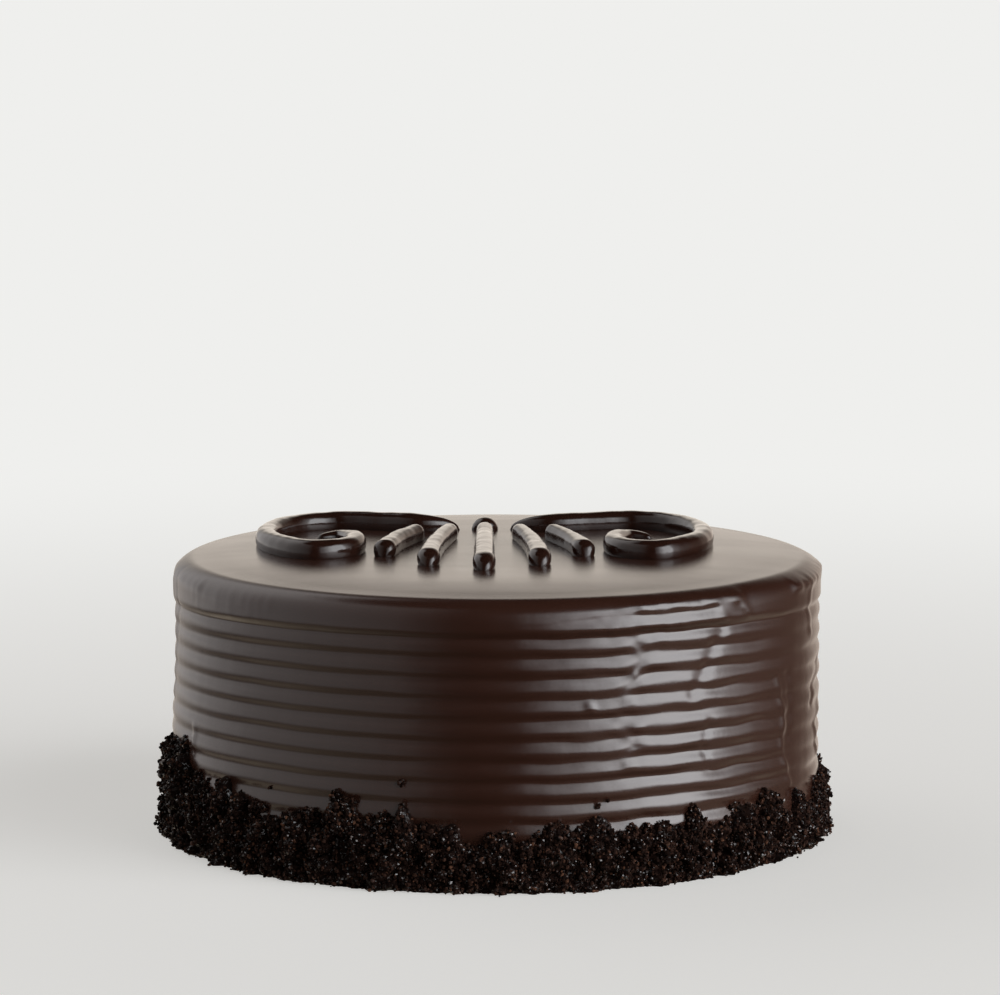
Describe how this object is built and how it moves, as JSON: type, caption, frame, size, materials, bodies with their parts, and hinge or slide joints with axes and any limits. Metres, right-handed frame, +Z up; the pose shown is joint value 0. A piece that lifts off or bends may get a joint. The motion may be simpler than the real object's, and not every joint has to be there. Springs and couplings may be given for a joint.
{
  "type": "sachertorte cake",
  "caption": "Whole round chocolate torte with a dark glaze combed into level ridges, a band of cake crumbs pressed round its foot and a piped fan of petals between two scrolls on its flat top.",
  "frame": {"origin": "middle of the cake's underside, on the surface it stands on", "axes": "+Z up along the cake's axis, -Y to the front seen in the picture, +X to the viewer's right"},
  "size_m": [0.2095, 0.209, 0.0914],
  "materials": {
    "glaze": "satin dark chocolate glaze, combed",
    "crumb": "matte, near-black moist cake crumbs",
    "piping": "glossy piped chocolate"
  },
  "bodies": {
    "root": {"glazed_cake": "glaze", "crumb_band": "crumb", "piped_scroll_1": "piping", "piped_scroll_2": "piping", "piped_petal_1": "piping", "piped_petal_2": "piping", "piped_petal_3": "piping", "piped_petal_4": "piping", "piped_petal_5": "piping", "piped_pearl": "piping"}
  },
  "joints": []
}
